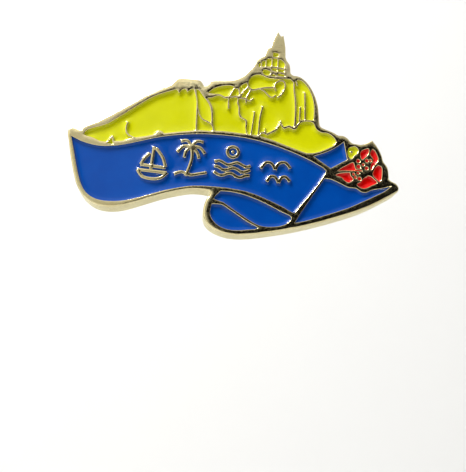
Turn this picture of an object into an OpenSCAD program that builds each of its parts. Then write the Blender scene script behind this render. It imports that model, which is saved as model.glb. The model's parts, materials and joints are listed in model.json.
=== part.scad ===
// Souvenir enamel pin: a die-struck, gold-plated plate with raised lines,
// soft enamel in every recess, a nail post on the back and a push-on dish clutch.
// Frame: +Z up, +X to the right of someone looking at the enamel, which faces -Y.
// The plate's back face lies in the plane y = 0, and the post stands out along +Y.

/* [Plate] */
// overall width of the plate, from tip to tip
pin_w = 31; // [24:0.5:40]
// thickness of the plate, from its back face to the tops of its raised lines
plate_t = 1.8; // [1.4:0.05:2.5]
// depth of the struck recesses below the tops of the lines
recess_d = 0.7; // [0.4:0.05:0.9]
// how far the enamel stays below the tops of the lines
fill_gap = 0.28; // [0.1:0.02:0.34]
// width of the thin raised lines
line_w = 0.15; // [0.1:0.01:0.22]
// width of the strokes in the four raised ornaments
stroke_w = 0.3; // [0.2:0.02:0.36]

/* [Post] */
// diameter of the nail post
post_d = 1.1; // [0.9:0.05:1.5]
// length of the post, from the plate's back face to its point
post_len = 2.2; // [2:0.1:5]
// length of the tapered point
point_len = 0.6; // [0.4:0.1:0.8]
// diameter of the flat head soldered to the plate
head_d = 3; // [2.4:0.1:3.4]
// thickness of the head
head_t = 0.3; // [0.2:0.05:0.5]

/* [Clutch] */
// diameter of the clutch's dish
clutch_d = 10.7; // [9:0.1:13]
// depth of the dish at its centre
dish_depth = 1.3; // [1:0.1:2]
// thickness of the rim, measured along the post
rim_t = 1; // [0.7:0.1:1.2]
// diameter of the neck where it meets the head of the post
neck_d = 5; // [4:0.1:5.5]

/* [Fits] */
// radial running clearance between the post and the clutch's bore
bore_gap = 0.03; // [0.01:0.01:0.08]
// gap between the head of the post and the end of the neck
seat_gap = 0.05; // [0.02:0.01:0.15]
// free space in front of the post's point inside the bore
point_gap = 0.05; // [0.05:0.05:0.3]
// thickness of the clutch's wall between the bore and the dish
skin_t = 0.25; // [0.2:0.05:0.6]

/* [Hidden] */
$fn = 96;
drawn_w = 31.1;              // width at which the outlines below are written
k = pin_w / drawn_w;
front_y = -plate_t;
floor_y = -(plate_t - recess_d);
fill_y = -(plate_t - fill_gap);
post_x = 0.45 * k;
post_z = 2.4 * k;
neck_y = head_t + seat_gap;
bore_end_y = post_len + point_gap;
dish_y = bore_end_y + skin_t;
rim_y = dish_y + dish_depth;
rim_r = clutch_d / 2;
rim_w = 0.3;                 // width of the rim's rounded edge
edge_r = 0.15;               // rounding at the rim's open edge
skirt_h = 0.4;               // height of the curve from the rim's side to its underside
flare_w = 0.8;               // width of that curve
mark_r = 1.1;                // ring mark moulded in the dish, below its centre
mark_w = 0.14;
mark_h = 0.05;
mark_shift = 2;
crack_w = line_w + 0.02;     // lines that stand for cracks in the rock
groove_d = 0.08;             // depth of the ring groove in the post
groove_w = 0.3;
groove_y = post_len - point_len - 0.25 - groove_w;
over = 1;                    // how far a cut reaches past the face it opens

// Catmull-Rom curve through p, n spans between neighbours, both ends kept
function knot(p, i) = p[max(0, min(len(p) - 1, i))];
function spline(a, b, c, d, t) =
    0.5 * (2 * b + (c - a) * t + (2 * a - 5 * b + 4 * c - d) * t * t
    + (3 * b - a - 3 * c + d) * t * t * t);
function curve(p, n = 3) = concat(
    [for (i = [0:len(p) - 2]) for (s = [0:n - 1])
        spline(knot(p, i - 1), p[i], p[i + 1], knot(p, i + 2), s / n)],
    [p[len(p) - 1]]);

// ribbon of width w along the line p, as one polygon
function unit(v) = v / norm(v);
function heading(p, i) =
    unit(unit(p[min(i + 1, len(p) - 1)] - p[min(i, len(p) - 2)])
    + unit(p[max(i, 1)] - p[max(i - 1, 0)]));
function edge(p, w, s) = [for (i = [0:len(p) - 1])
    p[i] + s * w / 2 * [-heading(p, i)[1], heading(p, i)[0]]];
function back(p) = [for (i = [len(p) - 1:-1:0]) p[i]];

module area(p) {
    polygon([for (q = p) q * k]);
}

module stroke(p, w = line_w) {
    q = [for (a = p) a * k];
    polygon(concat(edge(q, w, 1), back(edge(q, w, -1))));
}

module dot(x, z, d) {
    translate([x * k, z * k]) circle(d = d, $fn = 24);
}

// a flat layer between two depths, drawn from its outline
module layer(y_front, y_back) {
    translate([0, y_back, 0]) rotate([90, 0, 0]) linear_extrude(y_back - y_front) children();
}

// ---------- outline of the plate ----------
hill_edge = [[-14, 0.95], [-12.8, 1.7], [-11, 3.05], [-9, 4.65], [-7, 5.95],
    [-6.5, 6.4], [-6.15, 6.8], [-5.6, 7], [-4.2, 7.05], [-3.8, 6.95]];
saddle_edge = [[-3.45, 6.5], [-3.25, 6.6], [-2.95, 7], [-2.5, 7.18], [-1.2, 7.35],
    [-0.5, 7.6], [0, 7.95], [0.9, 9.1], [1.2, 9.7], [1.5, 10.05], [1.85, 10.35]];
spire_left = [[1.85, 10.35], [2, 10.7], [2.15, 11.2], [2.45, 11.5], [2.6, 12.2],
    [2.85, 12.85], [3.15, 13.2]];
spire_right = [[3.48, 12.75], [3.65, 12.9], [3.85, 12.3], [4, 11.5], [4.1, 10.5], [4.3, 10.1]];
tower_foot = [[4.3, 10.1], [4.55, 9.8], [4.65, 9.3], [4.7, 8.95], [4.95, 8.75]];
rock_edge = [[4.95, 8.75], [5.5, 8.7], [6.1, 8.35], [6.7, 7.7], [7.2, 6.8], [7.55, 5.8],
    [7.7, 4.9], [7.8, 4.2], [7.95, 3.75], [8.4, 3.55]];
bank_edge = [[8.4, 3.55], [9.2, 3.3], [9.7, 3.1], [10.15, 3.12], [10.6, 2.9], [11.1, 2.45],
    [11.95, 2.45]];
flower_edge = [[12.95, 3], [13.4, 2.5], [13.9, 1.6], [14.1, 1], [14.5, 0.5], [14.65, -0.1],
    [14.7, -0.7]];
tail_tip = [[14.7, -0.7], [15, -0.9], [15.4, -1.05], [15.65, -1.4], [15.6, -1.8], [15.2, -2.15]];
tail_edge = [[15.2, -2.15], [13.5, -3.3], [12, -4.15], [10, -5.05], [8, -5.85], [6, -6.55],
    [3.5, -7.25], [1.8, -7.62], [0.4, -7.72], [-0.8, -7.5], [-1.7, -7.05], [-2.15, -6.4],
    [-2.25, -5.6], [-2.1, -4.8], [-1.85, -4.3]];
notch_edge = [[-1.85, -4.3], [-1.8, -4], [-2.1, -3.85], [-3, -3.82], [-4, -3.98], [-6, -4.65],
    [-8, -5.55], [-9.4, -6.15], [-10.6, -6.42], [-11.8, -6.35], [-12.8, -5.85], [-13.6, -5],
    [-14.1, -3.95], [-14.75, -2], [-15.35, 0.3]];
left_tip = [[-15.35, 0.3], [-15.25, 0.62], [-14.95, 0.72], [-14.5, 0.6], [-14.2, 0.62],
    [-14, 0.95]];

module outline() {
    area(concat(curve(hill_edge, 2), curve(saddle_edge, 2), curve(spire_left, 2),
        curve(spire_right, 2), curve(tower_foot, 2), curve(rock_edge, 2), curve(bank_edge, 2),
        curve(flower_edge, 2), curve(tail_tip, 2), curve(tail_edge, 2), curve(notch_edge, 2),
        curve(left_tip, 2)));
}

// ---------- yellow landscape ----------
module hill_area() {
    difference() {
        area(concat(
            curve([[-13.85, 0.15], [-13.7, 0.5], [-13.3, 0.8], [-12, 1.4], [-11, 2.2],
                [-9, 3.95], [-8, 4.75], [-7, 5.3], [-6, 5.75]], 3),
            [[-5.72, 5.4], [-5.45, 5.8], [-5.2, 5.9], [-4.95, 5.6], [-4.6, 5.95], [-4.4, 6]],
            curve([[-4.25, 5.6], [-4.02, 4.9], [-3.95, 4], [-3.85, 2.6], [-3.8, 1.85]], 2),
            curve([[-4.6, 1.68], [-5.6, 1.45], [-6.6, 1.2]], 2),
            curve([[-6.75, 1.3], [-7, 1.42], [-7.25, 1.32], [-7.45, 1]], 2),
            curve([[-8.2, 0.72], [-8.8, 0.55], [-9.3, 0.42]], 2),
            curve([[-9.6, 0.3], [-10.2, 0.02], [-11, -0.15], [-11.6, -0.28], [-12.3, -0.3],
                [-13, -0.05], [-13.6, 0.05]], 2)));
        stroke(curve([[-10.05, 1.9], [-10.15, 1.4], [-10.05, 0.85], [-9.7, 0.55], [-9.2, 0.38]], 2));
        area([[-11.85, -0.6], [-11.3, 0.36], [-11.18, 0.36], [-10.95, -0.6]]);
    }
}

module hut_area() {
    area([[-11.62, -0.46], [-11.28, 0.12], [-11.12, -0.44]]);
}

module ridge_top_area() {
    area(concat(
        curve([[-4.15, 6.02], [-3.95, 5.1], [-3.8, 4.3], [-3.5, 3.45], [-3.15, 3.08],
            [-2.75, 2.95], [-2.42, 2.75]], 3),
        curve([[-2.48, 3.4], [-2.6, 4.1], [-2.9, 4.75], [-3.4, 5.35], [-3.9, 5.95]], 2)));
}

module ridge_foot_area() {
    area(concat(
        curve([[-3.78, 4], [-3.6, 3.4], [-3.2, 2.95], [-2.8, 2.8], [-2.4, 2.6]], 2),
        [[-2.22, 2.2], [-2.25, 1.98], [-3.62, 1.92]]));
}

module middle_area() {
    difference() {
        area(concat(
            curve([[-3, 5.25], [-2.6, 5.35], [-2.3, 5.52], [-1.9, 5.65], [-1.4, 5.45],
                [-0.9, 5.5], [-0.5, 5.68], [-0.15, 5.6]], 2),
            curve([[-0.2, 5.1], [-0.02, 4.7], [0.02, 4.1], [0.25, 3.65], [0.75, 3.42],
                [0.8, 2.8], [0.95, 2.1]], 2),
            [[-1, 2.12], [-1.98, 2.05]],
            curve([[-2.2, 2.6], [-2.28, 3.4], [-2.4, 4.3], [-2.7, 4.85]], 2)));
        stroke([[-1, 5.7], [-1, 5], [-0.92, 4.45]]);
    }
}

module crescent_area() {
    area(concat(
        curve([[-3, 5.8], [-2.5, 6.3], [-1.8, 6.65], [-1, 6.82], [-0.62, 6.72]], 2),
        curve([[-0.75, 6.3], [-1, 5.78]], 1),
        curve([[-1.4, 5.62], [-1.9, 5.82], [-2.4, 5.78]], 2)));
}

module step_area() {
    area(concat(
        curve([[-0.52, 6.62], [-0.38, 6.56], [-0.24, 6.6]], 2),
        [[-0.14, 6.25], [-0.12, 5.9]],
        curve([[-0.3, 5.88], [-0.6, 5.78], [-0.82, 5.72]], 2)));
}

module crag_area() {
    area([[-0.1, 6.75], [0.15, 7.05], [0.55, 7.3], [0.62, 6.95], [0.32, 6.5], [0.08, 6.12]]);
}

module chip_area() {
    area([[0.22, 6], [0.5, 6.5], [0.75, 6.8], [0.92, 6.65], [0.72, 6.2], [0.55, 5.78], [0.2, 5.75]]);
}

module cliff_area() {
    difference() {
        area(concat(
            curve([[0.75, 7.05], [0.74, 7.5], [0.95, 8], [1.4, 8.28], [1.9, 8.32], [2.2, 8.2],
                [2.6, 8.1], [3.4, 8.1], [4.1, 8.22], [4.7, 8.25]], 2),
            curve([[4.98, 8], [5.05, 7.2], [5.25, 6], [5.35, 4.8], [5.35, 3.4]], 2),
            curve([[4.9, 3.5], [4.45, 3.28], [4.25, 3.5], [4.1, 3.95], [3.75, 3.1]], 1),
            [[2.9, 2.42], [2.78, 2.55], [2.7, 3], [2.62, 2.52], [2.35, 2.5], [2.15, 2.1]],
            curve([[1.05, 2.1], [0.95, 2.6], [0.95, 3.45], [0.5, 3.7], [0.2, 4.1], [0.12, 4.7],
                [-0.02, 5.1], [-0.05, 5.6]], 2),
            [[0.5, 5.6], [0.72, 5.6], [0.9, 6.2], [1.08, 6.6], [1.08, 6.7], [0.85, 6.85]]));
        stroke(curve([[0.7, 6.95], [1.15, 6.68], [1.7, 6.85], [2.3, 7.05], [3, 7.17],
            [3.3, 7.15]], 3), crack_w);
        stroke(curve([[3.22, 7.1], [3.3, 7.6], [3.6, 7.92], [4, 8], [4.22, 7.7], [4.2, 7.1],
            [3.95, 6.55], [3.6, 6.2]], 3), crack_w);
        stroke(curve([[1.9, 6.85], [2.3, 6.68], [2.6, 6.4], [2.9, 6.18], [3.2, 6.2],
            [3.4, 6.45]], 2));
        stroke([[3.25, 7.2], [3.4, 6.85]]);
        stroke([[0.68, 5.8], [0.65, 5.25]]);
        stroke(curve([[0.42, 5.62], [0.65, 5.59], [1, 5.48], [1.3, 5.85]], 2));
        stroke([[1.55, 4.5], [1.42, 2]]);
        stroke([[2.28, 5.15], [2.12, 4], [2.1, 2]], crack_w);
    }
}

module rock_side_area() {
    difference() {
        area(concat(
            curve([[5.2, 8.2], [5.6, 8.3], [6, 8.1], [6.45, 7.6], [6.85, 6.85], [7.1, 6],
                [7.18, 5.1], [7.18, 4.3]], 2),
            curve([[6.6, 4.25], [6.05, 4.18], [5.8, 3.85], [5.6, 3.55]], 2),
            curve([[5.55, 4.6], [5.45, 6], [5.22, 7.2], [5.15, 7.9]], 2)));
        stroke([[5.22, 8.3], [5.4, 7.7]]);
        stroke([[5.84, 5.5], [5.88, 4]], crack_w);
        stroke([[6.17, 7.1], [6.28, 5.8], [6.4, 4.1]], crack_w);
    }
}

module ground_area() {
    area(concat(
        [[2.3, 2.05], [2.42, 2.32], [2.7, 2.3], [2.95, 2.2], [3.85, 2.9], [4.1, 3.5]],
        curve([[4.25, 3.2], [4.5, 3.02], [4.9, 3.25], [5.4, 3.08], [5.7, 3.3], [6, 3.85],
            [6.5, 4.08], [7.15, 4.05], [7.4, 3.6], [7.65, 3.3], [8.1, 3.12], [8.5, 3.15],
            [8.9, 3.02], [9.3, 2.7], [9.48, 2.35]], 2),
        curve([[9.2, 1.95], [8.5, 1.5], [7.7, 1.1], [7, 0.95], [6.5, 0.98], [5, 1.38],
            [3.6, 1.78]], 2)));
}

// ---------- small panes of the tower ----------
arc_panes = [
    [[1.55, 9.15], [1.52, 9.5], [1.72, 9.62], [1.72, 9.2]],
    [[1.85, 9.25], [1.82, 9.8], [2.15, 9.92], [2.15, 9.3]],
    [[2.28, 9.32], [2.24, 10.1], [2.7, 10.22], [2.72, 9.4]],
    [[2.86, 9.42], [2.84, 10.25], [3.28, 10.28], [3.3, 9.42]],
    [[3.44, 9.4], [3.42, 10.25], [3.75, 10.15], [4, 9.85], [4.02, 9.38]]];
row_panes = [
    [[2.85, 8.98], [2.85, 9.22], [3.32, 9.22], [3.32, 8.92]],
    [[3.45, 8.92], [3.45, 9.22], [4.02, 9.2], [4, 8.92]],
    [[2.82, 8.38], [3.02, 8.62], [3.3, 8.42]],
    [[3.4, 8.5], [3.52, 8.7], [4.05, 8.68], [4.1, 8.48]]];

module pane_areas() {
    area([[2.84, 10.45], [2.84, 10.88], [3.35, 10.88], [3.3, 10.45]]);
    for (p = arc_panes) area(p);
    for (p = row_panes) area(p);
    area(curve([[1.95, 8.7], [2.05, 8.92], [2.35, 8.95], [2.65, 8.85], [2.72, 8.62],
        [2.5, 8.4], [2.15, 8.42], [1.95, 8.7]], 2));
}

// ---------- blue ribbon ----------
module ribbon_area() {
    difference() {
        area(concat(
            curve([[-14.95, -0.15], [-14, -0.52], [-12.9, -0.74], [-11.8, -0.74], [-10.5, -0.48],
                [-9, 0.02], [-7, 0.75], [-5, 1.25], [-3, 1.57], [-1, 1.69], [1, 1.67],
                [3, 1.4], [5, 0.92], [7, 0.25], [8.5, -0.45], [8.68, -0.7]], 2),
            [[8.6, -0.95], [6.05, -5.02], [5.85, -5]],
            curve([[5, -4.62], [4, -4.24], [3, -3.9], [2, -3.62], [1, -3.46], [-0.5, -3.38],
                [-2, -3.42], [-3, -3.5], [-4, -3.68], [-6, -4.32], [-8, -5.18], [-9.4, -5.68],
                [-10.8, -5.9], [-11.9, -5.82], [-12.8, -5.35], [-13.4, -4.55], [-13.9, -3.35],
                [-14.5, -1.5]], 2)));
        ornaments();
    }
}

module corner_area() {
    area(concat(curve([[7.45, 0.68], [8.3, 1.05], [9.3, 1.65], [10.22, 2.45]], 2),
        curve([[10.36, 1.8], [10.5, 1.2], [10.62, 0.75]], 1), [[9.12, -0.3], [8.3, 0.18]]));
}

module fold_upper_area() {
    area(concat(
        curve([[-1.38, -4.58], [-1.2, -4.2], [-0.85, -3.78]], 2),
        curve([[0, -3.74], [1, -3.83], [2, -4.05], [3, -4.36], [4, -4.75], [5, -5.15],
            [5.65, -5.4], [5.78, -5.65], [5.4, -6.12], [4.8, -6.42], [4, -6.6], [3.1, -6.62],
            [2.2, -6.3], [1, -5.65], [0, -5.08], [-0.5, -4.8], [-1.1, -4.66]], 2)));
}

module fold_lower_area() {
    area(curve([[-1.52, -5.1], [-0.7, -5.05], [-0.2, -5.27], [0.8, -5.82], [2, -6.48],
        [2.85, -6.85], [2, -7.08], [1, -7.26], [0.2, -7.28], [-0.6, -7.08], [-1.25, -6.6],
        [-1.6, -5.95], [-1.52, -5.1]], 2));
}

module tail_area() {
    area(concat(
        curve([[8.6, -1.42], [9.2, -1.42], [10.1, -1.72], [10.9, -2.02], [11.6, -2.02],
            [12.1, -2.3], [12.6, -2.3], [13.1, -2], [13.8, -1.8], [14.4, -1.6], [14.92, -1.38]], 2),
        curve([[14.3, -1.95], [13, -2.78], [12, -3.38], [11, -3.95], [9.5, -4.65], [8, -5.3],
            [7, -5.7], [6.15, -5.98]], 2),
        [[6.5, -5.25]]));
}

// ---------- red flower and its bud ----------
module petal_1_area() {
    area(curve([[11.85, 1.4], [11.95, 1.75], [12.35, 2], [12.62, 2.05], [12.62, 1.65],
        [12.45, 1.3], [12.25, 1.1], [12.12, 0.95], [11.95, 1.05], [11.85, 1.4]], 2));
}

module petal_2_area() {
    area(curve([[12.98, 2.05], [13.2, 1.95], [13.45, 1.5], [13.55, 1.1], [13.4, 0.7],
        [13.15, 0.4], [12.97, 0], [12.88, 0.2], [12.95, 0.55], [13.12, 1], [13.05, 1.2],
        [12.85, 1.45], [12.85, 1.75], [12.98, 2.05]], 2));
}

module petal_3_area() {
    area(curve([[13.6, 0.5], [13.9, 0.4], [13.97, 0], [13.95, -0.7], [13.8, -1.08],
        [13.5, -0.85], [13.15, -0.5], [13.2, -0.15], [13.35, 0.25], [13.6, 0.5]], 2));
}

module petal_4_area() {
    area(curve([[12.7, -0.65], [13, -0.7], [13.3, -0.95], [13.58, -1.2], [13.1, -1.5],
        [12.6, -1.82], [12.2, -1.92], [11.8, -1.75], [11.7, -1.55], [12, -1.35],
        [12.35, -0.9], [12.7, -0.65]], 2));
}

module petal_5_area() {
    area(concat(
        curve([[9.65, -0.95], [9.85, -0.78], [10.5, -0.62], [10.95, -0.55]], 2),
        curve([[11.02, -0.85], [11.3, -1.15], [11.05, -1.4], [10.85, -1.5], [10.5, -1.35],
            [10.2, -1.08], [9.9, -1.02]], 2)));
}

module petal_6_area() {
    area(concat(
        curve([[9.8, -0.48], [10.2, -0.15], [10.7, 0.2], [11.15, 0.5], [11.3, 0.35],
            [11.38, 0.05], [11.5, -0.14]], 2),
        [[12.1, -0.16], [12.1, -0.26]],
        curve([[11.4, -0.28], [10.6, -0.34]], 1)));
}

stamens = [[11.68, 0.72, 0.34], [12.5, 0.85, 0.32], [12.85, 0.92, 0.24], [12.18, 0.42, 0.24],
    [11.75, 0.16, 0.38], [12.52, 0.1, 0.32], [11.72, -0.48, 0.24], [11.3, -0.65, 0.22],
    [11.5, -0.92, 0.26], [11.88, -1.02, 0.32]];

module stamen_areas() {
    for (s = stamens) dot(s[0], s[1], s[2] * k);
}

module bud_area() {
    difference() {
        area(curve([[10.65, 1.55], [10.75, 1.9], [11.05, 2.05], [11.35, 2.12], [11.65, 1.8],
            [11.5, 1.45], [11.25, 1.2], [11.05, 0.9], [10.85, 0.95], [10.68, 1.25],
            [10.65, 1.55]], 2));
        dot(11, 1.55, 0.26 * k);
    }
}

// ---------- four raised ornaments on the ribbon ----------
module sail_boat() {
    stroke([[-7.35, -0.2], [-7.4, -2.45]], stroke_w);
    stroke(curve([[-7.15, -0.35], [-6.45, -1.2], [-6.1, -2.1]], 2), stroke_w);
    stroke(curve([[-7.65, -0.9], [-8.1, -1.5], [-8.35, -2.1]], 2), stroke_w);
    stroke([[-8.4, -2.1], [-6.1, -2.15]], stroke_w);
    stroke(curve([[-8.6, -2.6], [-8.1, -3.2], [-7.2, -3.35], [-6.4, -3.15], [-5.9, -2.6]], 2),
        stroke_w);
    stroke([[-8.6, -2.62], [-5.9, -2.62]], stroke_w);
}

module palm_tree() {
    stroke(curve([[-3.95, 0.2], [-3.8, -0.8], [-3.95, -1.8], [-4.2, -2.7]], 2), stroke_w);
    stroke(curve([[-3.95, 0.2], [-4.4, 0.75], [-5, 0.6]], 3), stroke_w);
    stroke(curve([[-3.95, 0.2], [-3.5, 0.8], [-2.9, 0.75]], 3), stroke_w);
    stroke(curve([[-3.95, 0.2], [-4.7, 0.15], [-5.2, -0.5]], 3), stroke_w);
    stroke(curve([[-3.95, 0.2], [-3.2, 0.2], [-2.65, -0.35]], 3), stroke_w);
    stroke(curve([[-3.95, 0.2], [-4.4, -0.3], [-4.5, -0.95]], 3), stroke_w);
    stroke(curve([[-3.95, 0.2], [-3.4, -0.3], [-3.15, -0.9]], 3), stroke_w);
    stroke(curve([[-5.25, -2.65], [-4.6, -2.35], [-3.8, -2.55], [-3, -2.35], [-2.3, -2.15]], 2),
        stroke_w);
}

sun_d = 1.35;
wave_step = 0.42;
wave_pitch = 0.55;
wave_h = 0.16;

module sun_and_sea() {
    difference() {
        dot(-0.1, 0.15, sun_d * k);
        dot(-0.1, 0.15, sun_d * k - 2 * stroke_w);
    }
    dot(-0.1, 0.15, stroke_w);
    for (row = [0:2])
        stroke(curve([for (i = [0:8])
            [-1.7 + wave_step * i, -1 - wave_pitch * row + wave_h * sin(i * 90 + row * 60)]], 2),
            stroke_w);
}

module two_gulls() {
    stroke(curve([[2.6, -1.15], [3.05, -0.5], [3.6, -0.55], [3.95, -1.1]], 3), stroke_w);
    stroke(curve([[3.95, -1.1], [4.25, -0.45], [4.85, -0.3], [5.35, -0.8]], 3), stroke_w);
    stroke(curve([[3.25, -2.35], [3.6, -1.8], [4.05, -1.85], [4.35, -2.35]], 3), stroke_w);
    stroke(curve([[4.35, -2.35], [4.6, -1.8], [5, -1.7], [5.4, -2.1]], 3), stroke_w);
}

module ornaments() {
    sail_boat();
    palm_tree();
    sun_and_sea();
    two_gulls();
}

// ---------- the pieces ----------
module all_areas() {
    hill_area();
    hut_area();
    ridge_top_area();
    ridge_foot_area();
    middle_area();
    crescent_area();
    step_area();
    crag_area();
    chip_area();
    cliff_area();
    rock_side_area();
    ground_area();
    pane_areas();
    ribbon_area();
    corner_area();
    fold_upper_area();
    fold_lower_area();
    tail_area();
    petal_1_area();
    petal_2_area();
    petal_3_area();
    petal_4_area();
    petal_5_area();
    petal_6_area();
    stamen_areas();
    bud_area();
}

module base_plate() {
    color([0.86, 0.76, 0.48]) difference() {
        layer(front_y, 0) outline();
        layer(front_y - over, floor_y) all_areas();
    }
}

module fill() {
    layer(fill_y, floor_y) children();
}

module yellow() {
    color([0.85, 0.86, 0.06]) fill() children();
}

module blue() {
    color([0, 0.22, 0.62]) fill() children();
}

module red() {
    color([0.82, 0, 0]) fill() children();
}

module on_post_axis() {
    translate([post_x, 0, post_z]) rotate([-90, 0, 0]) children();
}

module post() {
    r = post_d / 2;
    color([0.83, 0.72, 0.42]) on_post_axis() rotate_extrude() polygon([
        [0, 0], [head_d / 2, 0], [head_d / 2, head_t], [r, head_t],
        [r, groove_y], [r - groove_d, groove_y + groove_w / 2], [r, groove_y + groove_w],
        [r, post_len - point_len], [0, post_len]]);
}

// the dish is part of a ball, so that its depth at radius r has a simple form
dish_r = rim_r - rim_w;
ball_r = (dish_r * dish_r + dish_depth * dish_depth) / (2 * dish_depth);
ball_y = dish_y + ball_r;
function dish_at(r) = ball_y - sqrt(ball_r * ball_r - r * r);

module clutch_body() {
    neck_r = neck_d / 2;
    under_y = rim_y - rim_t;
    neck_h = under_y - neck_y;
    steps = 16;
    rotate_extrude() polygon(concat(
        [[0, neck_y], [neck_r, neck_y], [neck_r + flare_w * 0.1, neck_y + neck_h * 0.2],
            [neck_r + flare_w * 0.6, neck_y + neck_h * 0.5],
            [neck_r + flare_w * 1.6, neck_y + neck_h * 0.9],
            [rim_r - flare_w, under_y], [rim_r - flare_w * 0.25, under_y + skirt_h * 0.3],
            [rim_r, under_y + skirt_h], [rim_r, rim_y - edge_r],
            [rim_r - edge_r * 0.3, rim_y - edge_r * 0.3], [rim_r - edge_r, rim_y]],
        [for (i = [steps:-1:0]) [dish_r * i / steps, dish_at(dish_r * i / steps)]]));
}

// a low ring that lies on the ball, turned down the dish by mark_shift
module ring_mark() {
    low_y = dish_at(mark_r);
    translate([0, 0, ball_y]) rotate([-asin(mark_shift / ball_r), 0, 0]) translate([0, 0, -ball_y])
        rotate_extrude() polygon([
            [mark_r - mark_w, low_y - mark_h], [mark_r, low_y - mark_h],
            [mark_r - mark_w * 0.3, low_y + mark_h], [mark_r - mark_w * 0.7, low_y + mark_h]]);
}

module clutch() {
    color([0.93, 0.84, 0.05]) on_post_axis() difference() {
        union() {
            clutch_body();
            ring_mark();
        }
        cylinder(r = post_d / 2 + bore_gap, h = bore_end_y);
    }
}

base_plate();
post();
clutch();
yellow() hill_area();  // hill_fill
yellow() hut_area();  // hut_fill
yellow() ridge_top_area();  // ridge_top_fill
yellow() ridge_foot_area();  // ridge_foot_fill
yellow() middle_area();  // middle_fill
yellow() crescent_area();  // crescent_fill
yellow() step_area();  // step_fill
yellow() crag_area();  // crag_fill
yellow() chip_area();  // chip_fill
yellow() cliff_area();  // cliff_fill
yellow() rock_side_area();  // rock_side_fill
yellow() ground_area();  // ground_fill
yellow() pane_areas();  // tower_pane_fills
blue() ribbon_area();  // ribbon_fill
blue() corner_area();  // ribbon_corner_fill
blue() fold_upper_area();  // fold_upper_fill
blue() fold_lower_area();  // fold_lower_fill
blue() tail_area();  // ribbon_tail_fill
red() petal_1_area();  // petal_fill_1
red() petal_2_area();  // petal_fill_2
red() petal_3_area();  // petal_fill_3
red() petal_4_area();  // petal_fill_4
red() petal_5_area();  // petal_fill_5
red() petal_6_area();  // petal_fill_6
red() stamen_areas();  // stamen_fills
yellow() bud_area();  // bud_fill
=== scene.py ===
import json
import math

import bpy
import numpy as np
from mathutils import Matrix, Vector, kdtree, noise
from mathutils.geometry import delaunay_2d_cdt


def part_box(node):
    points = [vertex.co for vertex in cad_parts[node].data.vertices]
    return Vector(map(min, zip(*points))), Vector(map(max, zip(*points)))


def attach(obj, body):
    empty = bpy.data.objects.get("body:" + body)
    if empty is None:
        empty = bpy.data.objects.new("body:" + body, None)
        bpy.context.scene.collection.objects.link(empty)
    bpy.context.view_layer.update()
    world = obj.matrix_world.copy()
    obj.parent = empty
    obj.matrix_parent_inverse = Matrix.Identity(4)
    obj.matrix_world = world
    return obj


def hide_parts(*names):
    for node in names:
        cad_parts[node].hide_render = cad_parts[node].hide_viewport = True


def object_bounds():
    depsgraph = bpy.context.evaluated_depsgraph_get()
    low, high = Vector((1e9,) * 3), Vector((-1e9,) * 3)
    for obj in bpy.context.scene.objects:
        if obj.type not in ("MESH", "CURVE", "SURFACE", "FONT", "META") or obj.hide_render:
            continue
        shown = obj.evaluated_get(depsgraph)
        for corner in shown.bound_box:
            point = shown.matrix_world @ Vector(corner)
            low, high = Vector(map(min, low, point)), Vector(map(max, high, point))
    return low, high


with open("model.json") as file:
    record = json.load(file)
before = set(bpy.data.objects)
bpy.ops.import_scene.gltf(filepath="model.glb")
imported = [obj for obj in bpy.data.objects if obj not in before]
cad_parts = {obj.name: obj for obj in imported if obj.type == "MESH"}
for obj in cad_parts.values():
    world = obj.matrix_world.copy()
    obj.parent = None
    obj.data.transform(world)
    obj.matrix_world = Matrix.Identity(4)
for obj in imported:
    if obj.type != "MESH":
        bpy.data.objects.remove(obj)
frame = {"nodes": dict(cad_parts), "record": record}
cad_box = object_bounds()

# Everything below is worked out in millimetres, in the frame's axes: x to the right, z up,
# and y is depth, with the enamel facing -y. Shape.build() turns it into metres.
MM = 0.001
FILLS = [n for n in frame["nodes"] if n.endswith(("_fill", "_fills")) or "_fill_" in n]
SLOT_OF = {s["node"]: s["material_slot"] for s in frame["record"]["subparts"]}

TOP_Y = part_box("base_plate")[0].y / MM  # the tops of the raised lines
FILL_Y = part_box("ribbon_fill")[0].y / MM  # the face of the enamel
FLOOR_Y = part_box("ribbon_fill")[1].y / MM  # the floors of the recesses
BACK_Y = 0  # the back of the plate

STEP = 0.12  # spacing of the points along an outline
CORNER = math.radians(38)  # an outline that turns more than this at a point has a corner there
MITRE_LIMIT = 0.6  # the least cosine that a corner's mitred offset is worked out from
LINE_ROUND = 0.055  # radius of the edges of the raised lines, where a line is wide enough
EDGE_ROUND = 0.17  # radius of the plate's front edge
BACK_ROUND = 0.08  # radius of the plate's back edge
CROWN = math.radians(4)  # how far the polished metal leans over beside an edge
CROWN_REACH = 0.28  # how far in from the edge it is flat again
CROWN_SHARES = (0.25, 0.55, 1)  # where on that reach the metal has points
FRONT_STEPS, BACK_STEPS = 4, 3  # steps round the front edges and round the back edge

ROOM_SHARES = (1, 0.85, 0.7, 0.58, 0.48, 0.4, 0.3, 0.2)  # shares of a radius, tried from the largest
LEAST_ROOM = 0.12  # the share that is used where none of them fits
CLEAR = 0.93  # a loose point keeps this share of its distance from every other stretch of outline

WAFFLE = 0.5  # pitch of the pits on the back
PIT_LAND = 0.1  # width of the raised lattice between the pits
PIT_DEPTH = 0.12
PIT_FLOOR = 0.1  # a pit's flat bottom, as a share of its width

CLIMB = ((0.1, 0.07), (0.07, 0.3))  # how the enamel climbs its walls: height, and how soon it fades
SWELLS = ((0.012, 0.5, 4.1), (0.004, 1.7, 9.3))  # its slight waves: height, fineness, place in the noise
SWELL_START = 0.5  # how far from a wall the waves reach their height
RIM_LEAN = (0.75, 0.66)  # the enamel's normal at a wall: how much sideways, how much forwards
RINGS = (0.035, 0.08, 0.14, 0.23, 0.36)  # distances from the walls where the enamel has points
GRID = 0.22  # spacing of its points further in
SLOPE_STEP = 0.01  # the step that its slope is measured over

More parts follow.
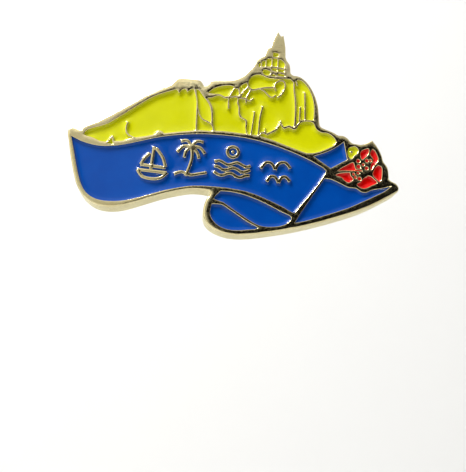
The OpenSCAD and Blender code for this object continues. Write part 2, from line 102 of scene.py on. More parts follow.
WALL, BACK, SHADED_PITS = 1, 2, 3  # places in the plate's list of materials, where its front is 0


# ---------------------------------------------------------------- outlines
def face_loops(node, y):
    """Closed outlines (x, z) of a CAD node's flat face at depth y, with the material on their left."""
    mesh = frame["nodes"][node].data
    where = {}
    edges = set()
    for poly in mesh.polygons:
        points = [mesh.vertices[i].co / MM for i in poly.vertices]
        if any(abs(p.y - y) > 1e-3 for p in points):
            continue
        keys = []
        for p in points:
            key = (round(p.x * 1e4), round(p.z * 1e4))
            where[key] = (p.x, p.z)
            keys.append(key)
        edges.update((a, b) for a, b in zip(keys, keys[1:] + keys[:1]) if a != b)
    after = {a: b for a, b in edges if (b, a) not in edges}
    loops = []
    while after:
        start = here = min(after)
        loop = []
        while here in after:
            loop.append(where[here])
            here = after.pop(here)
        if here == start and len(loop) > 2:
            loops.append(np.array(loop))
    if area(biggest(loops)) < 0:
        loops = [loop[::-1] for loop in loops]
    return loops


def area(loop):
    x, z = loop[:, 0], loop[:, 1]
    return 0.5 * float(np.sum(x * np.roll(z, -1) - np.roll(x, -1) * z))


def biggest(loops):
    return max(loops, key=lambda loop: abs(area(loop)))


def unit(v):
    return v / np.maximum(np.linalg.norm(v, axis=-1, keepdims=True), 1e-12)


def curve(a, b, start, end, steps):
    """Points from a up to b on a smooth curve that leaves along start and arrives along end."""
    length = float(np.linalg.norm(b - a))
    points = []
    for s in range(steps):
        t = s / steps
        points.append(
            (2 * t**3 - 3 * t * t + 1) * a
            + (t**3 - 2 * t * t + t) * length * start
            + (3 * t * t - 2 * t**3) * b
            + (t**3 - t * t) * length * end
        )
    return points


def smooth(loop):
    """The same outline with its shallow bends drawn as curves, at an even spacing."""
    leaving = unit(np.roll(loop, -1, 0) - loop)
    coming = np.roll(leaving, 1, 0)
    is_corner = np.arccos(np.clip((leaving * coming).sum(1), -1, 1)) > CORNER
    along = unit(leaving + coming)
    points = []
    for i in range(len(loop)):
        j = (i + 1) % len(loop)
        start = leaving[i] if is_corner[i] else along[i]
        end = leaving[i] if is_corner[j] else along[j]
        steps = max(1, round(float(np.linalg.norm(loop[j] - loop[i])) / STEP))
        points += curve(loop[i], loop[j], start, end, steps)
    return np.array(points)


def side(loop):
    """Unit normals to the left of the outline, and how much longer a mitred offset is at each point."""
    leaving = unit(np.roll(loop, -1, 0) - loop)
    along = unit(leaving + np.roll(leaving, 1, 0))
    left = np.stack([-along[:, 1], along[:, 0]], 1)
    cosine = np.clip((along * leaving).sum(1), MITRE_LIMIT, 1)
    return left, 1 / cosine


def tree_of(loops):
    points = np.concatenate(loops)
    tree = kdtree.KDTree(len(points))
    for i, p in enumerate(points):
        tree.insert((p[0], p[1], 0), i)
    tree.balance()
    return tree


def near(tree, p):
    return tree.find((p[0], p[1], 0))[2]


def room_for(loop, sign, most, tree):
    """How far each point may move to that side, up to most, without meeting another stretch of outline."""
    left, _ = side(loop)
    room = np.full(len(loop), most * LEAST_ROOM)
    for i, p in enumerate(loop):
        for share in ROOM_SHARES:
            reach = most * share
            if near(tree, p + sign * left[i] * 2.2 * reach) > reach:
                room[i] = reach
                break
    for _ in range(3):  # no sudden steps along the outline
        room = np.minimum(room, (np.roll(room, 1) + np.roll(room, -1)) / 2 + 0.01 * most)
    return room


def spots_beside(loops, signs, distances, tree, spacing):
    """Points at those distances from each outline, left of it where its sign is 1 and right where it is -1.

    A point is left out if it is nearer to another stretch, or too close to the one before it.
    """
    spots = []
    for loop, sign in zip(loops, signs):
        inward = side(loop)[0] * sign
        for d in distances:
            for p in loop + inward * d:
                if near(tree, p) > CLEAR * d and (not spots or abs(p - spots[-1]).sum() > spacing * d):
                    spots.append(p)
    return spots


def inside(loops, points):
    """Which of the points lie inside an odd number of the outlines."""
    odd = np.zeros(len(points), int)
    px, pz = points[:, 0:1], points[:, 1:2]
    for loop in loops:
        x, z = loop[:, 0], loop[:, 1]
        x2, z2 = np.roll(x, -1), np.roll(z, -1)
        with np.errstate(divide="ignore", invalid="ignore"):
            at = x + (pz - z) * (x2 - x) / (z2 - z)
        odd += (((z > pz) != (z2 > pz)) & (px < at)).sum(1)
    return odd % 2 == 1


def slope(depth_of, x, z, step):
    """How steeply depth_of(x, z) rises along x and along z at a point."""
    along_x = (depth_of(x + step, z) - depth_of(x - step, z)) / (2 * step)
    along_z = (depth_of(x, z + step) - depth_of(x, z - step)) / (2 * step)
    return along_x, along_z


# ---------------------------------------------------------------- meshes
def double_area(co, tri):
    """Twice the triangle's area, above 0 if its corners run anticlockwise."""
    a, b, c = (co[i] for i in tri)
    return (b[0] - a[0]) * (c[1] - a[1]) - (b[1] - a[1]) * (c[0] - a[0])


def fill_in(loops, extra=(), lines=()):
    """Anticlockwise triangles for the parts inside an odd number of the outlines.

    extra are loose points to use too, and lines are pairs of them that stay joined.
    Returns the points, the triangles, and where each input point went among the points.
    """
    flat = [Vector(p) for loop in loops for p in loop] + [Vector(p) for p in extra]
    edges, first = [], 0
    for loop in loops:
        edges += [(first + i, first + (i + 1) % len(loop)) for i in range(len(loop))]
        first += len(loop)
    walls = len(edges)
    edges += [(first + a, first + b) for a, b in lines]
    co, out_edges, tris, sources, from_edges, _ = delaunay_2d_cdt(flat, edges, [], 0, 1e-5)

    # spread from triangle to triangle up to the outlines, and keep or drop each group as one
    wall = {frozenset(e) for e, f in zip(out_edges, from_edges) if any(i < walls for i in f)}
    beside = {}
    for t, tri in enumerate(tris):
        for i in range(3):
            beside.setdefault(frozenset((tri[i], tri[i - 1])), []).append(t)
    seen, kept = set(), []
    for t in range(len(tris)):
        if t in seen:
            continue
        seen.add(t)
        members = [t]
        for here in members:  # members grows while it is read
            tri = tris[here]
            for edge in (frozenset((tri[i], tri[i - 1])) for i in range(3)):
                fresh = [] if edge in wall else [other for other in beside[edge] if other not in seen]
                seen.update(fresh)
                members += fresh
        largest = max(members, key=lambda m: abs(double_area(co, tris[m])))
        centre = sum((co[v] for v in tris[largest]), Vector((0, 0))) / 3
        if inside(loops, np.array([centre]))[0]:
            kept += [tris[m] for m in members]
    kept = [tri if double_area(co, tri) > 0 else tri[::-1] for tri in kept]
    index = {old: new for new, olds in enumerate(sources) for old in olds}
    return np.array([tuple(c) for c in co]), kept, index


class Shape:
    """Points, faces and point normals that become one object."""

    def __init__(self):
        self.points, self.normals, self.faces = [], [], []
        self.count = 0
        self.finish_from = []

    def add(self, points, normals):
        """Adds points and their normals, and returns their numbers."""
        first = self.count
        self.count += len(points)
        self.points.append(np.asarray(points, float))
        self.normals.append(np.asarray(normals, float))
        return np.arange(first, first + len(points))

    def ring(self, flat, y, out, tilt):
        """A ring of points at depth y, whose normals lean from the outward direction by tilt towards -y."""
        points = np.stack([flat[:, 0], np.broadcast_to(y, len(flat)), flat[:, 1]], 1)
        along_y = np.full(len(flat), -math.sin(tilt))
        normals = np.stack([out[:, 0] * math.cos(tilt), along_y, out[:, 1] * math.cos(tilt)], 1)
        return self.add(points, normals)

    def strip(self, a, b, flip=False):
        """Faces between two rings with as many points each."""
        for i in range(len(a)):
            j = (i + 1) % len(a)
            quad = (a[i], a[j], b[j], b[i])
            self.faces.append(quad[::-1] if flip else quad)

    def strips(self, rings, flip=False):
        for a, b in zip(rings, rings[1:]):
            self.strip(a, b, flip)

    def sheet(self, co, tris, y, normals, joined=None, facing_back=False):
        """Triangles with those depths and normals. joined gives points that are there already."""
        place = self.add(np.stack([co[:, 0], np.broadcast_to(y, len(co)), co[:, 1]], 1), normals)
        for i, point in (joined or {}).items():
            place[i] = point
        for tri in tris:
            corners = [place[i] for i in tri]
            self.faces.append(tuple(corners[::-1] if facing_back else corners))

    def finish(self, index):
        """Faces added from here on take that one of build()'s materials."""
        self.finish_from.append((len(self.faces), index))

    def build(self, name, materials, stands_for, body="pin"):
        points = np.concatenate(self.points) * MM
        mesh = bpy.data.meshes.new(name)
        mesh.from_pydata(points.tolist(), [], [tuple(int(i) for i in f) for f in self.faces])
        mesh.polygons.foreach_set("use_smooth", [True] * len(mesh.polygons))
        mesh.update()
        mesh.normals_split_custom_set_from_vertices(unit(np.concatenate(self.normals)).tolist())
        for m in materials:
            mesh.materials.append(m)
        which = np.zeros(len(mesh.polygons), int)
        for first, index in self.finish_from:
            which[first:] = index
        mesh.polygons.foreach_set("material_index", which)
        thing = bpy.data.objects.new(name, mesh)
        bpy.context.scene.collection.objects.link(thing)
        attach(thing, body)
        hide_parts(stands_for)


# ---------------------------------------------------------------- node helpers
def material(name):
    m = bpy.data.materials.new(name)
    m.use_nodes = True
    tree = m.node_tree
    place = tree.nodes.new("ShaderNodeTexCoord").outputs["Object"]
    return m, tree, tree.nodes["Principled BSDF"], place


def noise_node(tree, place, scale, detail=3, rough=0.55):
    n = tree.nodes.new("ShaderNodeTexNoise")
    n.inputs["Scale"].default_value = scale
    n.inputs["Detail"].default_value = detail
    n.inputs["Roughness"].default_value = rough
    tree.links.new(place, n.inputs["Vector"])
    return n.outputs["Fac"]


def mix_colour(tree, share, a, b):
    """Colour a where share is 0 and b where it is 1."""
    n = tree.nodes.new("ShaderNodeMix")
    n.data_type = "RGBA"
    for socket, value in ((n.inputs[6], a), (n.inputs[7], b)):
        if isinstance(value, tuple):
            socket.default_value = (*value, 1)
        else:
            tree.links.new(value, socket)
    tree.links.new(share, n.inputs[0])
    return n.outputs[2]


def ramp(tree, value, low, high, to_low=0.0, to_high=1.0):
    n = tree.nodes.new("ShaderNodeMapRange")
    n.inputs["From Min"].default_value = low
    n.inputs["From Max"].default_value = high
    n.inputs["To Min"].default_value = to_low
    n.inputs["To Max"].default_value = to_high
    tree.links.new(value, n.inputs["Value"])
    return n.outputs["Result"]


def math_node(tree, operation, a, b=None):
    n = tree.nodes.new("ShaderNodeMath")
    n.operation = operation
    for socket, value in zip(n.inputs, (a, b)):
        if isinstance(value, (int, float)):
            socket.default_value = value
        elif value is not None:
            tree.links.new(value, socket)
    return n.outputs[0]


def bump(tree, shader, height, strength, distance):
    n = tree.nodes.new("ShaderNodeBump")
    n.inputs["Strength"].default_value = strength
    n.inputs["Distance"].default_value = distance
    tree.links.new(height, n.inputs["Height"])
    tree.links.new(n.outputs["Normal"], shader.inputs["Normal"])


# ---------------------------------------------------------------- materials of the pin
def gold(name, light, dark, smoothest, roughest, grain):
    m, tree, shader, place = material(name)
    shader.inputs["Metallic"].default_value = 1.0
    cloud = noise_node(tree, place, 420, 3)
    speck = noise_node(tree, place, 5200, 2, 0.7)
    tint = mix_colour(tree, ramp(tree, cloud, 0.35, 0.68), dark, light)
    tree.links.new(tint, shader.inputs["Base Color"])
    tree.links.new(ramp(tree, speck, 0.35, 0.7, smoothest, roughest), shader.inputs["Roughness"])
    bump(tree, shader, speck, grain, 0.00001)
    return m


def enamel(name, colour, deep):
    m, tree, shader, place = material(name)
    shader.inputs["IOR"].default_value = 1.46
    shader.inputs["Specular IOR Level"].default_value = 0.36
    shader.inputs["Coat Weight"].default_value = 0.06
    shader.inputs["Coat Roughness"].default_value = 0.04
    cloud = noise_node(tree, place, 260, 3)
    grains = noise_node(tree, place, 6500, 2, 0.6)
    tint = mix_colour(tree, ramp(tree, cloud, 0.3, 0.7), deep, colour)
    tree.links.new(tint, shader.inputs["Base Color"])
    tree.links.new(ramp(tree, grains, 0.3, 0.7, 0.09, 0.21), shader.inputs["Roughness"])
    bump(tree, shader, grains, 0.12, 0.000006)
    return m


def soft_rubber(name):
    m, tree, shader, place = material(name)
    shader.inputs["IOR"].default_value = 1.5
    shader.inputs["Subsurface Weight"].default_value = 0.6
    shader.inputs["Subsurface Radius"].default_value = (1.0, 0.4, 0.03)
    shader.inputs["Subsurface Scale"].default_value = 0.0005
    cloud = ramp(tree, noise_node(tree, place, 300, 3), 0.3, 0.7)
    grains = noise_node(tree, place, 2600, 3, 0.65)
    # painted shade: the rubber is orange nearer the plate, in the neck and the bottom of the dish, and yellow
    # towards the rim, in place of the orange shade that light bounced inside the dish gives
    split = tree.nodes.new("ShaderNodeSeparateXYZ")
    tree.links.new(place, split.inputs[0])
    shallow = ramp(tree, split.outputs["Y"], 0.0023, 0.0034)
    near_rim = mix_colour(tree, cloud, (0.88, 0.66, 0.002), (0.92, 0.72, 0.003))
    deep = mix_colour(tree, cloud, (0.8, 0.27, 0.001), (0.84, 0.34, 0.001))
    tree.links.new(mix_colour(tree, shallow, deep, near_rim), shader.inputs["Base Color"])
    tree.links.new(ramp(tree, grains, 0.3, 0.7, 0.34, 0.48), shader.inputs["Roughness"])
    bump(tree, shader, grains, 0.25, 0.00002)
    return m


PLATE_GOLD = gold("plated_gold", (0.95, 0.85, 0.5), (0.86, 0.74, 0.4), 0.08, 0.22, 0.35)
# painted shade: the side wall's gold is a darker copy of the front's plating
WALL_GOLD = gold("plated_gold_side_painted_shade", (0.77, 0.7, 0.39), (0.67, 0.59, 0.31), 0.26, 0.42, 0.5)
# painted shade: the back's gold is darker than the front's plating
BACK_GOLD = gold("plated_gold_back_painted_shade", (0.74, 0.58, 0.3), (0.6, 0.45, 0.21), 0.12, 0.28, 0.4)
# painted shade: a darker copy still, for the pit sides that don't face up
PIT_SHADE_GOLD = gold("plated_gold_pits_painted_shade", (0.5, 0.36, 0.15), (0.34, 0.23, 0.08), 0.16, 0.34, 0.4)
POST_GOLD = gold("post_gold", (0.92, 0.8, 0.46), (0.82, 0.68, 0.36), 0.12, 0.28, 0.3)
RUBBER = soft_rubber("yellow_rubber_painted_shade")
ENAMELS = {
    "enamel_yellow": enamel("yellow_enamel", (0.66, 0.68, 0.002), (0.57, 0.585, 0.001)),
    "enamel_blue": enamel("blue_enamel", (0.0005, 0.073, 0.4), (0.0004, 0.056, 0.33)),
    "enamel_red": enamel("red_enamel", (0.72, 0.002, 0.001), (0.6, 0.001, 0.001)),
}


# ---------------------------------------------------------------- the enamel
fill_loops = {node: [smooth(loop) for loop in face_loops(node, FILL_Y)] for node in FILLS}
recesses = [loop for node in FILLS for loop in fill_loops[node]]


def enamel_depth(x, z, tree):
    """Depth of the enamel's surface: it climbs towards the nearest wall, and waves a little."""
    wall = near(tree, (x, z))
    climb = sum(height * math.exp(-wall / fade) for height, fade in CLIMB)
    wave = sum(height * noise.noise(Vector((x * fine, z * fine, at))) for height, fine, at in SWELLS)
    return FILL_Y - climb + wave * (1 - math.exp(-wall / SWELL_START))


def enamel_spots(loops, tree):
    """Loose points for a fill: in rings beside its walls, and on a grid further in."""
    spots = spots_beside(loops, [1] * len(loops), RINGS, tree, 0.4)
    low, high = np.concatenate(loops).min(0), np.concatenate(loops).max(0)
    gx, gz = np.meshgrid(np.arange(low[0], high[0], GRID), np.arange(low[1], high[1], GRID))
    grid = np.stack([gx.ravel(), gz.ravel()], 1)
    grid = grid[inside(loops, grid)]
    return spots + [p for p in grid if near(tree, p) > RINGS[-1] + 0.1]


def make_enamel(node):
    loops = fill_loops[node]
    tree = tree_of(loops)
    co, tris, index = fill_in(loops, enamel_spots(loops, tree))

    def depth_of(x, z):
        return enamel_depth(x, z, tree)

    depths = [depth_of(x, z) for x, z in co]
    slopes = [slope(depth_of, x, z, SLOPE_STEP) for x, z in co]
    normals = [(along_x, -1, along_z) for along_x, along_z in slopes]
    # the surface is too steep at its walls to measure, so its normal leans by a set amount there
    sideways, forwards = RIM_LEAN
    for i, left in enumerate(np.concatenate([side(loop)[0] for loop in loops])):
        normals[index[i]] = (left[0] * sideways, -forwards, left[1] * sideways)

    shape = Shape()
    shape.sheet(co, tris, depths, normals)
    for loop in loops:  # its side, down the wall of the recess
        out = -side(loop)[0]
        rim = np.array([depth_of(x, z) for x, z in loop])
        shape.strip(shape.ring(loop, FLOOR_Y, out, 0), shape.ring(loop, rim, out, 0))
    shape.sheet(co, tris, FLOOR_Y, [(0, 1, 0)] * len(co), facing_back=True)
    name = node.replace("_fills", "_enamel").replace("_fill", "_enamel")
    shape.build(name, [ENAMELS[SLOT_OF[node]]], node)


for fill_node in FILLS:
    make_enamel(fill_node)


# ---------------------------------------------------------------- the plate
def plate_outline():
    """The plate's outline, kept inside the CAD's box where a smoothed bend would pass it."""
    outline = smooth(biggest(face_loops("base_plate", BACK_Y)))
    low, high = cad_box
    outline[:, 0] = np.clip(outline[:, 0], low[0] / MM, high[0] / MM)
    outline[:, 1] = np.clip(outline[:, 1], low[2] / MM, high[2] / MM)
    return outline


def rounded(shape, loop, sign, reach, out):
    """Rings from a wall over a rounded edge to the flat front. Returns them and the last one's outline."""
    left, longer = side(loop)
    rings = []
    for s in range(FRONT_STEPS + 1):
        angle = math.pi / 2 * s / FRONT_STEPS
        last = loop + (reach * (1 - math.cos(angle)))[:, None] * left * longer[:, None] * sign
        y = TOP_Y + reach * (1 - math.sin(angle))
        rings.append(shape.ring(last, y, out, min(angle, math.pi / 2 - CROWN)))
    return rings, last


def crowned_front(shape, loops, rings):
    """The flat tops of the metal, polished to a slight crown along every edge."""
    tree = tree_of(loops)
    distances = [CROWN_REACH * share for share in CROWN_SHARES]
    signs = [1] + [-1] * (len(loops) - 1)  # the metal is left of the plate's outline, and right of a recess's
    co, tris, index = fill_in(loops, spots_beside(loops, signs, distances, tree, 0.5))
    normals = []
    for x, z in co:
        edge, _, away = tree.find((x, z, 0))
        lean = CROWN * max(0, 1 - away / CROWN_REACH)
        pull = math.sin(lean) / max(away, 1e-6)
        normals.append(((edge[0] - x) * pull, -math.cos(lean), (edge[1] - z) * pull))
    joined = {index[i]: point for i, point in enumerate(np.concatenate(rings))}
    shape.sheet(co, tris, TOP_Y, normals, joined)


def side_wall(shape, outline, front_ring):
    """The wall round the plate and its rounded back edge. Returns the back face's outline."""
    left, longer = side(outline)
    reach = room_for(outline, 1, BACK_ROUND, tree_of([outline]))
    rings = [front_ring]
    for s in range(BACK_STEPS + 1):
        angle = math.pi / 2 * s / BACK_STEPS
        loop = outline + (reach * (1 - math.cos(angle)))[:, None] * left * longer[:, None]
        rings.append(shape.ring(loop, BACK_Y - reach * (1 - math.sin(angle)), -left, -angle))
    shape.strips(rings[::-1])
    return loop


def waffle_back(shape, rim):
    """The back face: a lattice of raised bands round small square pits, up to the plate's edge."""
    half = (WAFFLE - PIT_LAND) / 2
    corners = np.array([(-1, -1), (1, -1), (1, 1), (-1, 1)])
    first, last = np.floor(rim.min(0) / WAFFLE), np.ceil(rim.max(0) / WAFFLE)
    columns, rows = (np.arange(a, b + 1) + 0.5 for a, b in zip(first, last))
    centres = np.array([(x, z) for x in columns for z in rows]) * WAFFLE
    touched = np.any([inside([rim], centres + corner * half) for corner in corners], 0)
    spots, lines = [], []
    for centre in centres[touched]:
        base = len(spots)
        spots += list(centre + corners * half) + list(centre + corners * half * PIT_FLOOR)
        for first_corner in (base, base + 4):
            lines += [(first_corner + i, first_corner + (i + 1) % 4) for i in range(4)]
        lines += [(base + i, base + 4 + i) for i in range(4)]
    co, tris, index = fill_in([rim], spots, lines)
    depths = np.full(len(co), float(BACK_Y))
    for i in range(len(spots)):
        if i % 8 >= 4:  # of each pit's eight points, the last four are its floor's
            depths[index[len(rim) + i]] = BACK_Y - PIT_DEPTH

    # each facet of a pit is flat, so no point is shared between facets
    order = np.array(tris)[:, ::-1]
    corner = np.stack([co[order][..., 0], depths[order], co[order][..., 1]], -1)
    facing = unit(np.cross(corner[:, 1] - corner[:, 0], corner[:, 2] - corner[:, 0]))
    points = shape.add(corner.reshape(-1, 3), np.repeat(facing, 3, 0)).reshape(-1, 3)
    in_pit = corner[..., 1].min(1) < BACK_Y - 1e-6
    shaded_facets = in_pit & (facing[:, 2] < 0.2)  # painted shade: pit sides that don't face up take the darker pit gold, and the sides that face up stay bright
    shape.faces += [tuple(f) for f in points[~shaded_facets]]
    shape.finish(SHADED_PITS)
    shape.faces += [tuple(f) for f in points[shaded_facets]]


def make_plate():
    shape = Shape()
    outline = plate_outline()
    walls = tree_of(recesses + [outline])

    # the rounded front edge, and every recess with its wall and its rounded edge
    reach = room_for(outline, 1, EDGE_ROUND, walls)
    rings, last = rounded(shape, outline, 1, reach, -side(outline)[0])
    shape.strips(rings)
    front_ring = rings[0]
    flat_loops, flat_rings = [last], [rings[-1]]
    for loop in recesses:
        out = side(loop)[0]
        rings, last = rounded(shape, loop, -1, room_for(loop, -1, LINE_ROUND, walls), out)
        shape.strips([shape.ring(loop, FLOOR_Y, out, 0)] + rings, flip=True)
        flat_loops.append(last)
        flat_rings.append(rings[-1])
    crowned_front(shape, flat_loops, flat_rings)

    # the floors of the recesses
    co, tris, _ = fill_in(recesses)
    shape.sheet(co, tris, FLOOR_Y, [(0, -1, 0)] * len(co))

    shape.finish(WALL)
    rim = side_wall(shape, outline, front_ring)
    shape.finish(BACK)
    waffle_back(shape, rim)
    materials = [PLATE_GOLD, WALL_GOLD, BACK_GOLD, PIT_SHADE_GOLD]
    shape.build("struck_plate", materials, "base_plate")


make_plate()


# ---------------------------------------------------------------- the clutch
CLUTCH_LOW, CLUTCH_HIGH = (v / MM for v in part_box("clutch"))
AXIS_X = (CLUTCH_LOW.x + CLUTCH_HIGH.x) / 2
AXIS_Z = (CLUTCH_LOW.z + CLUTCH_HIGH.z) / 2
CLUTCH_R = (CLUTCH_HIGH.x - CLUTCH_LOW.x) / 2
NECK_Y, RIM_Y = CLUTCH_LOW.y, CLUTCH_HIGH.y
UNDER_Y = RIM_Y - 1.0  # the underside of the flange
NECK_R = 2.5
MOUTH_R = NECK_R - 0.12  # the rounded end of the neck
POST_R = 0.55
BORE_R = POST_R + 0.03
BORE_END = 2.25
BORE_LEAD = 0.06  # the small chamfer that leads the post in
BORE_MIDDLE = 0.001  # the bore's end closes to a ring of this radius
DISH_Y = 2.5  # the deepest point of the dish
DISH_R = CLUTCH_R - 0.3
BALL_R = (DISH_R**2 + (RIM_Y - DISH_Y) ** 2) / (2 * (RIM_Y - DISH_Y))  # the dish is part of a ball
MARK_R, MARK_DROP = 1.1, 2.0  # the ring moulded in the dish, and how far below the centre it is
MARK_HEIGHT, MARK_WIDTH = 0.05, 0.07
MARK_ROWS = (-0.18, -0.12, -0.08, -0.05, -0.025, 0, 0.025, 0.05, 0.08, 0.12, 0.18)  # from its middle
MARK_CLEAR = 0.24  # the dish's other points stay this far from the middle of the ring mark
DISH_EDGE = DISH_R - 0.16  # inside this radius the dish is one sheet of triangles
DISH_STEP = 0.16  # spacing of its points
DISH_SLOPE_STEP = 0.004  # the step that its slope is measured over
TURNS = 128  # points round the clutch
MARK_TURNS = 96  # and round the ring mark


def round_ring(r, count=TURNS):
    """Points of a circle about the origin."""
    angles = 2 * math.pi * np.arange(count) / count
    return np.stack([r * np.cos(angles), r * np.sin(angles)], 1)


def turned_ring(shape, r, y, outward, along_y):
    """A ring about the clutch's axis, whose normals point outward and along y by those amounts."""
    about = round_ring(1)
    points = np.stack([AXIS_X + r * about[:, 0], np.full(TURNS, y), AXIS_Z + r * about[:, 1]], 1)
    normals = np.stack([outward * about[:, 0], np.full(TURNS, along_y), outward * about[:, 1]], 1)
    return shape.add(points, normals)


def clutch_outside():
    """The turned profile (radius, depth) from the neck's end to the rim, as a smooth curve."""
    marks = np.array([
        (MOUTH_R, NECK_Y), (NECK_R - 0.02, NECK_Y + 0.1), (NECK_R + 0.1, NECK_Y + 0.5),
        (NECK_R + 0.5, NECK_Y + 1.2), (NECK_R + 1.25, UNDER_Y - 0.2), (CLUTCH_R - 0.8, UNDER_Y),
        (CLUTCH_R - 0.2, UNDER_Y + 0.12), (CLUTCH_R - 0.05, UNDER_Y + 0.27), (CLUTCH_R, UNDER_Y + 0.45),
        (CLUTCH_R, RIM_Y - 0.28), (CLUTCH_R - 0.05, RIM_Y - 0.1), (CLUTCH_R - 0.17, RIM_Y),
        (CLUTCH_R - 0.34, RIM_Y - 0.05),
    ])
    tangents = unit(np.gradient(marks, axis=0))
    points = []
    for a, b, start, end in zip(marks, marks[1:], tangents, tangents[1:]):
        points += curve(a, b, start, end, max(2, int(np.linalg.norm(b - a) / STEP)))
    return np.array(points + [marks[-1]])


def dish_depth(x, z):
    """Depth of the dish's surface, x and z from the axis, with its low ring mark."""
    r = math.hypot(x, z)
    y = DISH_Y + BALL_R - math.sqrt(BALL_R**2 - r * r)
    if r > DISH_R - 0.5:  # beside the rim there is no mark
        return y
    from_mark = math.hypot(x, z + MARK_DROP) - MARK_R
    return y + MARK_HEIGHT * math.exp(-((from_mark / MARK_WIDTH) ** 2))


def dish_spots():
    """Loose points for the dish: in rings about its centre, and close together along the ring mark."""
    spots = []
    for r in np.arange(DISH_EDGE - 0.14, 0, -DISH_STEP):
        for p in round_ring(r, max(6, int(2 * math.pi * r / DISH_STEP))):
            if abs(math.hypot(p[0], p[1] + MARK_DROP) - MARK_R) > MARK_CLEAR:
                spots.append(p)
    for d in MARK_ROWS:
        for t in range(MARK_TURNS):
            late = 0.5 * (len(spots) % 2)  # every other point stands half a step late
            a = 2 * math.pi * (t + late) / MARK_TURNS
            spots.append(((MARK_R + d) * math.cos(a), (MARK_R + d) * math.sin(a) - MARK_DROP))
    return spots


def make_clutch():
    shape = Shape()
    # the outside, over the rim and into the dish. The last point is only there for the slope before it
    dish_start = [(r, dish_depth(r, 0)) for r in (DISH_EDGE, DISH_EDGE - 0.11)]
    profile = np.concatenate([clutch_outside(), dish_start])
    tangent = unit(np.gradient(profile, axis=0))
    rings = [
        turned_ring(shape, r, y, along[1], -along[0])
        for (r, y), along in zip(profile[:-1], tangent)
    ]
    shape.strips(rings, flip=True)

    co, tris, index = fill_in([round_ring(DISH_EDGE)], dish_spots())
    depths = [dish_depth(x, z) for x, z in co]
    slopes = [slope(dish_depth, x, z, DISH_SLOPE_STEP) for x, z in co]
    normals = [(-along_x, 1, -along_z) for along_x, along_z in slopes]
    joined = {index[t]: rings[-1][t] for t in range(TURNS)}
    shape.sheet(co + (AXIS_X, AXIS_Z), tris, depths, normals, joined, facing_back=True)

    # the end of the neck and the bore: radius, depth, and the outward and y parts of the normal
    to_plate, to_axis = (0, -1), (-1, 0)
    inner = [
        (MOUTH_R, NECK_Y, *to_plate), (BORE_R + BORE_LEAD, NECK_Y, *to_plate),
        (BORE_R, NECK_Y + BORE_LEAD, *to_axis), (BORE_R, BORE_END, *to_axis),
        (BORE_R, BORE_END, *to_plate), (BORE_MIDDLE, BORE_END, *to_plate),
    ]
    shape.strips([turned_ring(shape, *row) for row in inner])
    shape.build("rubber_clutch", [RUBBER], "clutch", body="clutch")


make_clutch()

# the post keeps its CAD shape
post = frame["nodes"]["post"]
post.data.materials.clear()
post.data.materials.append(POST_GOLD)


# ---------------------------------------------------------------- stage and lights, in metres
FLOOR_Z, BACKDROP_Y, FAR = -0.11, 0.22, 3.0


def matt_paint(name, colour, rough):
    m, tree, shader, place = material(name)
    shader.inputs["Roughness"].default_value = rough
    grain = noise_node(tree, place, 30, 4)
    tint = mix_colour(tree, grain, colour, tuple(c * 0.985 for c in colour))
    tree.links.new(tint, shader.inputs["Base Color"])
    return m


def stage_sheet(name, corners, paint):
    mesh = bpy.data.meshes.new(name)
    mesh.from_pydata(corners, [], [tuple(range(len(corners)))])
    mesh.materials.append(paint)
    thing = bpy.data.objects.new(name, mesh)
    bpy.context.scene.collection.objects.link(thing)


def make_stage():
    backdrop_paint = matt_paint("pale_paint", (0.9, 0.9, 0.895), 0.8)
    floor_paint = matt_paint("floor_paint", (0.5, 0.5, 0.495), 0.7)
    across = ((-FAR, -FAR), (FAR, -FAR), (FAR, FAR), (-FAR, FAR))
    stage_sheet("floor", [(x, y, FLOOR_Z) for x, y in across], floor_paint)
    upright = ((-FAR, FLOOR_Z), (FAR, FLOOR_Z), (FAR, FAR), (-FAR, FAR))
    stage_sheet("backdrop", [(x, BACKDROP_Y, z) for x, z in upright], backdrop_paint)


def lamp(name, where, size, power):
    """A round soft lamp that points at the pin."""
    data = bpy.data.lights.new(name, "AREA")
    data.shape = "DISK"
    data.size = size
    data.energy = power
    thing = bpy.data.objects.new(name, data)
    bpy.context.scene.collection.objects.link(thing)
    thing.location = where
    thing.rotation_euler = (-Vector(where)).to_track_quat("-Z", "Y").to_euler()


def band(tree, value, low, high, soft):
    """1 where the angle is between low and high, 0 outside, with soft edges. In degrees."""
    low, high, soft = (math.radians(v) for v in (low, high, soft))
    rise = ramp(tree, value, low - soft, low + soft)
    fall = ramp(tree, value, high - soft, high + soft, 1, 0)
    return math_node(tree, "MULTIPLY", rise, fall)


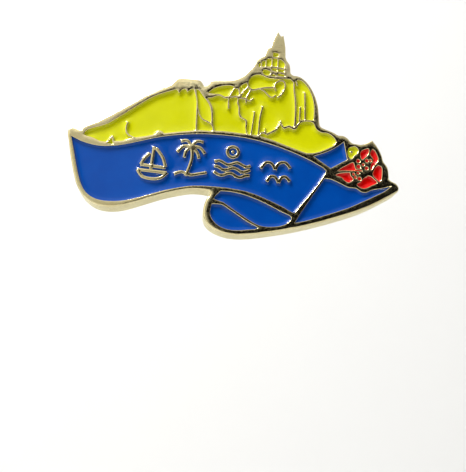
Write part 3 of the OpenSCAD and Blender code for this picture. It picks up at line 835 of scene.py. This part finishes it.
def make_world():
    """A pale room with two soft glows to the upper left and a black flag in front, to the right.

    A photographer sets such a flag for polished metal. Azimuth 0 is straight in front of the pin.
    """
    world = bpy.data.worlds.new("studio")
    world.use_nodes = True
    tree = world.node_tree
    split = tree.nodes.new("ShaderNodeSeparateXYZ")
    tree.links.new(tree.nodes.new("ShaderNodeTexCoord").outputs["Generated"], split.inputs[0])
    x, y, z = split.outputs
    azimuth = math_node(tree, "ARCTAN2", x, math_node(tree, "MULTIPLY", y, -1))
    elevation = math_node(tree, "ARCSINE", z)

    def patch(across, low, high, soft):
        return math_node(tree, "MULTIPLY", across, band(tree, elevation, low, high, soft))

    # the flag's left edge slants: it is further to the right higher up
    left_edge = ramp(
        tree, elevation, math.radians(26.3), math.radians(28.2), math.radians(-4), math.radians(10)
    )
    past_edge = math_node(tree, "SUBTRACT", azimuth, left_edge)
    flag = patch(band(tree, past_edge, 0, 76, 1.5), -6, 28.4, 1.5)
    high_glow = patch(band(tree, azimuth, -70, -0.5, 2.5), 26, 60, 2)
    side_glow = patch(band(tree, azimuth, -70, -22, 4), 0, 60, 4)
    glow = math_node(tree, "MAXIMUM", math_node(tree, "MULTIPLY", high_glow, 0.8), side_glow)

    room = mix_colour(tree, ramp(tree, elevation, -0.2, 1.2), (0.86, 0.84, 0.76), (0.95, 0.95, 0.95))
    lit_room = mix_colour(tree, glow, room, (1.9, 1.87, 1.75))
    flagged_room = mix_colour(tree, flag, lit_room, (0.004, 0.004, 0.004))
    to_camera = tree.nodes.new("ShaderNodeLightPath").outputs["Is Camera Ray"]
    background = tree.nodes["Background"]
    tree.links.new(mix_colour(tree, to_camera, flagged_room, (1.4, 1.4, 1.4)), background.inputs["Color"])
    background.inputs["Strength"].default_value = 0.6
    bpy.context.scene.world = world


make_stage()
lamp("key", (-0.34, -0.3, 0.5), 0.24, 4.9)
lamp("back_key", (-0.1, 0.17, 0.5), 0.2, 0.9)
make_world()


# ---------------------------------------------------------------- camera
# It looks up at the pin from a little below, aims past its lower edge, and is rolled by a few degrees.
AIM = Vector((0.67, TOP_Y, -7.83))
DISTANCE = 57.1
AZIMUTH, ELEVATION, ROLL = (math.radians(a) for a in (-3.0, -14.57, -5.64))
FOCAL_MM = 49.44
SENSOR_MM = 36


def make_camera():
    towards = Vector((
        math.sin(AZIMUTH) * math.cos(ELEVATION),
        -math.cos(AZIMUTH) * math.cos(ELEVATION),
        math.sin(ELEVATION),
    ))
    level = Vector((math.cos(AZIMUTH), math.sin(AZIMUTH), 0))
    upright = towards.cross(level)
    right = math.cos(ROLL) * level - math.sin(ROLL) * upright
    up = math.sin(ROLL) * level + math.cos(ROLL) * upright
    data = bpy.data.cameras.new("camera")
    data.sensor_width = SENSOR_MM
    data.sensor_fit = "HORIZONTAL"
    data.lens = FOCAL_MM
    data.clip_start = 0.001
    data.clip_end = 20
    camera = bpy.data.objects.new("camera", data)
    bpy.context.scene.collection.objects.link(camera)
    turned = Matrix((right, up, towards)).transposed().to_4x4()
    camera.matrix_world = Matrix.Translation((AIM + towards * DISTANCE) * MM) @ turned
    bpy.context.scene.camera = camera


make_camera()
bpy.context.scene.view_settings.view_transform = "Standard"
